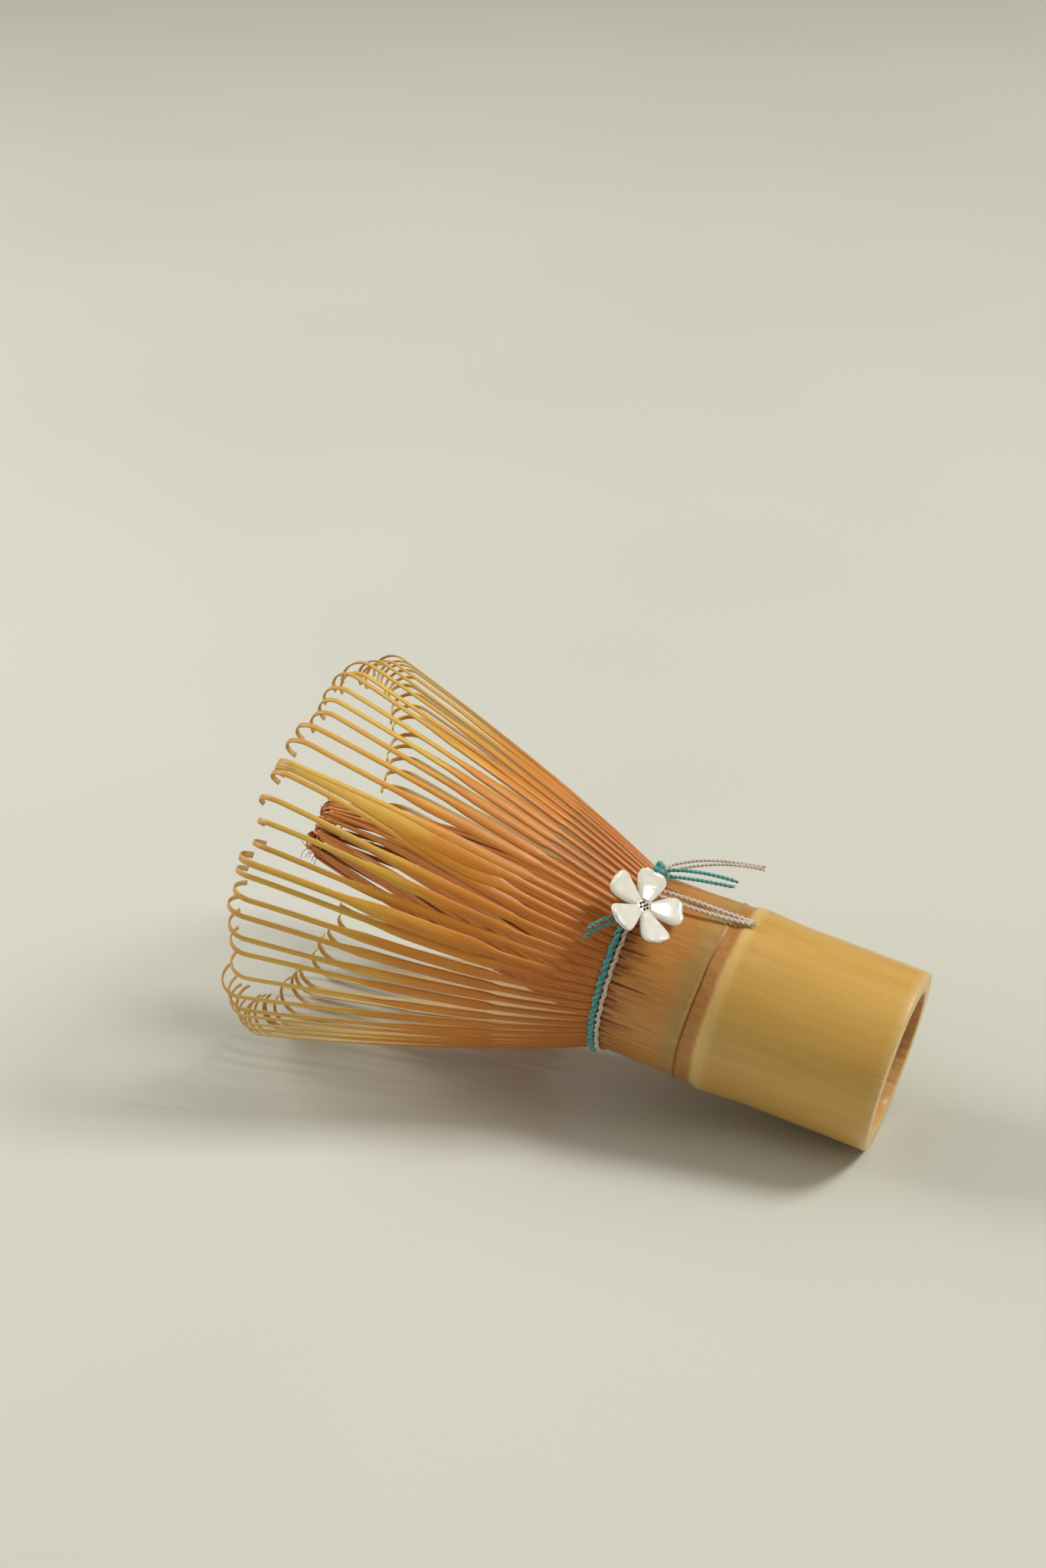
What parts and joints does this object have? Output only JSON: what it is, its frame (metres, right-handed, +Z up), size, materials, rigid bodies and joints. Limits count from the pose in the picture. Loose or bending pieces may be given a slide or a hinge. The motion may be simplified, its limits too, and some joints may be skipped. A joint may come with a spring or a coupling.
{
  "type": "bamboo tea whisk",
  "caption": "Bamboo tea whisk lying on its side: hollow handle with a node, a cage of curled outer tines, a gathered inner bundle, tied threads and a small flower charm.",
  "frame": {"origin": "on the surface that the whisk lies on, under the middle of its box", "axes": "+Z up, +X towards the handle end, so the tine tips point to -X; the culm's axis leans up towards the tips because the tine cage is wider than the handle"},
  "size_m": [0.1002, 0.061, 0.0593],
  "materials": {
    "bamboo_skin": "satin straw-gold bamboo skin",
    "bamboo_tine": "split and shaved bamboo, golden at the tips",
    "bamboo_inner": "split inner bamboo, orange-brown",
    "teal_thread": "twisted teal thread",
    "white_thread": "twisted off-white thread",
    "rose_metal": "rose-gold plated",
    "white_enamel": "glossy white enamel",
    "seed_enamel": "brown-purple enamel dots"
  },
  "bodies": {
    "culm": {"culm": "bamboo_skin", "teal_thread_wrap": "teal_thread", "white_thread_wrap": "white_thread", "spreader_thread": "teal_thread", "teal_knot": "teal_thread", "white_knot": "white_thread", "teal_tails": "teal_thread", "white_tails_upper": "white_thread", "white_tails_neck": "white_thread", "teal_ends": "teal_thread", "charm_tie": "teal_thread"},
    "tines_01": {"outer_tines_01": "bamboo_tine"},
    "tines_02": {"outer_tines_02": "bamboo_tine"},
    "tines_03": {"outer_tines_03": "bamboo_tine"},
    "tines_04": {"outer_tines_04": "bamboo_tine"},
    "tines_05": {"outer_tines_05": "bamboo_tine"},
    "tines_06": {"outer_tines_06": "bamboo_tine"},
    "tines_07": {"outer_tines_07": "bamboo_tine"},
    "tines_08": {"outer_tines_08": "bamboo_tine"},
    "tines_09": {"outer_tines_09": "bamboo_tine"},
    "tines_10": {"outer_tines_10": "bamboo_tine"},
    "tines_11": {"outer_tines_11": "bamboo_tine"},
    "inner_bundle": {"inner_tines_1": "bamboo_inner", "inner_tines_2": "bamboo_inner", "inner_tines_3": "bamboo_inner", "inner_tines_4": "bamboo_inner", "inner_tines_5": "bamboo_inner", "inner_tines_6": "bamboo_inner"},
    "jump_ring": {"jump_ring": "rose_metal"},
    "charm": {"charm_base": "rose_metal", "charm_enamel": "white_enamel", "charm_seeds": "seed_enamel"}
  },
  "joints": [
    {"name": "tines_01_flex", "type": "hinge", "parent": "culm", "child": "tines_01", "pos_m": [0.00836, 0, 0.03411], "axis": [0, 1, 0], "range_deg": [-3, 5], "stiffness_Nm_per_rad": 0.1},
    {"name": "tines_02_flex", "type": "hinge", "parent": "culm", "child": "tines_02", "pos_m": [0.00798, 0.00733, 0.03199], "axis": [-0.0961, 0.8413, -0.532], "range_deg": [-3, 5], "stiffness_Nm_per_rad": 0.1},
    {"name": "tines_03_flex", "type": "hinge", "parent": "culm", "child": "tines_03", "pos_m": [0.00695, 0.01233, 0.02631], "axis": [-0.1616, 0.4154, -0.8952], "range_deg": [-3, 5], "stiffness_Nm_per_rad": 0.1},
    {"name": "tines_04_flex", "type": "hinge", "parent": "culm", "child": "tines_04", "pos_m": [0.00561, 0.01341, 0.01888], "axis": [-0.1759, -0.1423, -0.9741], "range_deg": [-3, 5], "stiffness_Nm_per_rad": 0.1},
    {"name": "tines_05_flex", "type": "hinge", "parent": "culm", "child": "tines_05", "pos_m": [0.00438, 0.01024, 0.01204], "axis": [-0.1343, -0.6549, -0.7437], "range_deg": [-3, 5], "stiffness_Nm_per_rad": 0.1},
    {"name": "tines_06_flex", "type": "hinge", "parent": "culm", "child": "tines_06", "pos_m": [0.00364, 0.00382, 0.00798], "axis": [-0.0501, -0.9595, -0.2772], "range_deg": [-3, 5], "stiffness_Nm_per_rad": 0.1},
    {"name": "tines_07_flex", "type": "hinge", "parent": "culm", "child": "tines_07", "pos_m": [0.00364, -0.00382, 0.00798], "axis": [0.0501, -0.9595, 0.2772], "range_deg": [-3, 5], "stiffness_Nm_per_rad": 0.1},
    {"name": "tines_08_flex", "type": "hinge", "parent": "culm", "child": "tines_08", "pos_m": [0.00438, -0.01024, 0.01204], "axis": [0.1343, -0.6549, 0.7437], "range_deg": [-3, 5], "stiffness_Nm_per_rad": 0.1},
    {"name": "tines_09_flex", "type": "hinge", "parent": "culm", "child": "tines_09", "pos_m": [0.00561, -0.01341, 0.01888], "axis": [0.1759, -0.1423, 0.9741], "range_deg": [-3, 5], "stiffness_Nm_per_rad": 0.1},
    {"name": "tines_10_flex", "type": "hinge", "parent": "culm", "child": "tines_10", "pos_m": [0.00695, -0.01233, 0.02631], "axis": [0.1616, 0.4154, 0.8952], "range_deg": [-3, 5], "stiffness_Nm_per_rad": 0.1},
    {"name": "tines_11_flex", "type": "hinge", "parent": "culm", "child": "tines_11", "pos_m": [0.00798, -0.00733, 0.03199], "axis": [0.0961, 0.8413, 0.532], "range_deg": [-3, 5], "stiffness_Nm_per_rad": 0.1},
    {"name": "inner_bundle_sway", "type": "hinge", "parent": "culm", "child": "inner_bundle", "pos_m": [0.0061, 0, 0.02075], "axis": [0, 1, 0], "range_deg": [-3, 3], "stiffness_Nm_per_rad": 0.2},
    {"name": "jump_ring_swing", "type": "hinge", "parent": "culm", "child": "jump_ring", "pos_m": [0.01149, 0.00054, 0.03541], "axis": [-0.9841, 0, 0.1777], "range_deg": [0, 38]},
    {"name": "charm_swing", "type": "hinge", "parent": "jump_ring", "child": "charm", "pos_m": [0.01138, -0.00178, 0.0348], "axis": [-0.9841, 0, 0.1777], "range_deg": [0, 35]}
  ]
}
